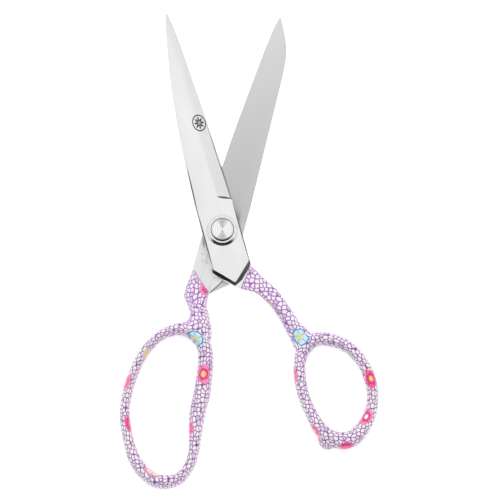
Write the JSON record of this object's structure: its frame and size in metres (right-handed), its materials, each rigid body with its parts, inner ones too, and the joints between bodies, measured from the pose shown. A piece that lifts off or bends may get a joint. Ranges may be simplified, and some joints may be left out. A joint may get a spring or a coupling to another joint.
{
  "type": "tailor's shears",
  "caption": "Bent-handle tailor's shears with ground straight blades on a pivot screw and printed cast bows, modelled part open.",
  "frame": {"origin": "on the pivot's axis, in the plane that the shears lie on, which is the lock nut's flat end", "axes": "+Y from the pivot to the tips, midway between the open blades; +X to the thumb bow's side; +Z out of the front blade and the screw's head"},
  "size_m": [0.1325, 0.2469, 0.017],
  "materials": {
    "blade_steel": "polished outside, satin on the inner faces",
    "handle_print": "lilac cell-and-flower print under clear lacquer on cast aluminium",
    "pivot_steel": "turned and polished",
    "washer_polymer": "natural acetal",
    "spring_steel": "blued spring steel"
  },
  "bodies": {
    "rear_half": {"rear_blade": "blade_steel", "finger_handle": "handle_print", "pivot_screw": "pivot_steel", "collar_washer": "pivot_steel", "friction_washer": "washer_polymer", "rear_washer": "pivot_steel", "spring_washer": "spring_steel"},
    "front_half": {"front_blade": "blade_steel", "thumb_handle": "handle_print"},
    "nut": {"lock_nut": "pivot_steel"}
  },
  "joints": [
    {"name": "blade_pivot", "type": "hinge", "parent": "rear_half", "child": "front_half", "pos_m": [0, 0, 0.0085], "axis": [0, 0, 1], "range_deg": [-29, 80]},
    {"name": "nut_turn", "type": "hinge", "parent": "rear_half", "child": "nut", "pos_m": [0, 0, 0.0014], "axis": [0, 0, 1], "range_deg": [-90, 90]}
  ]
}
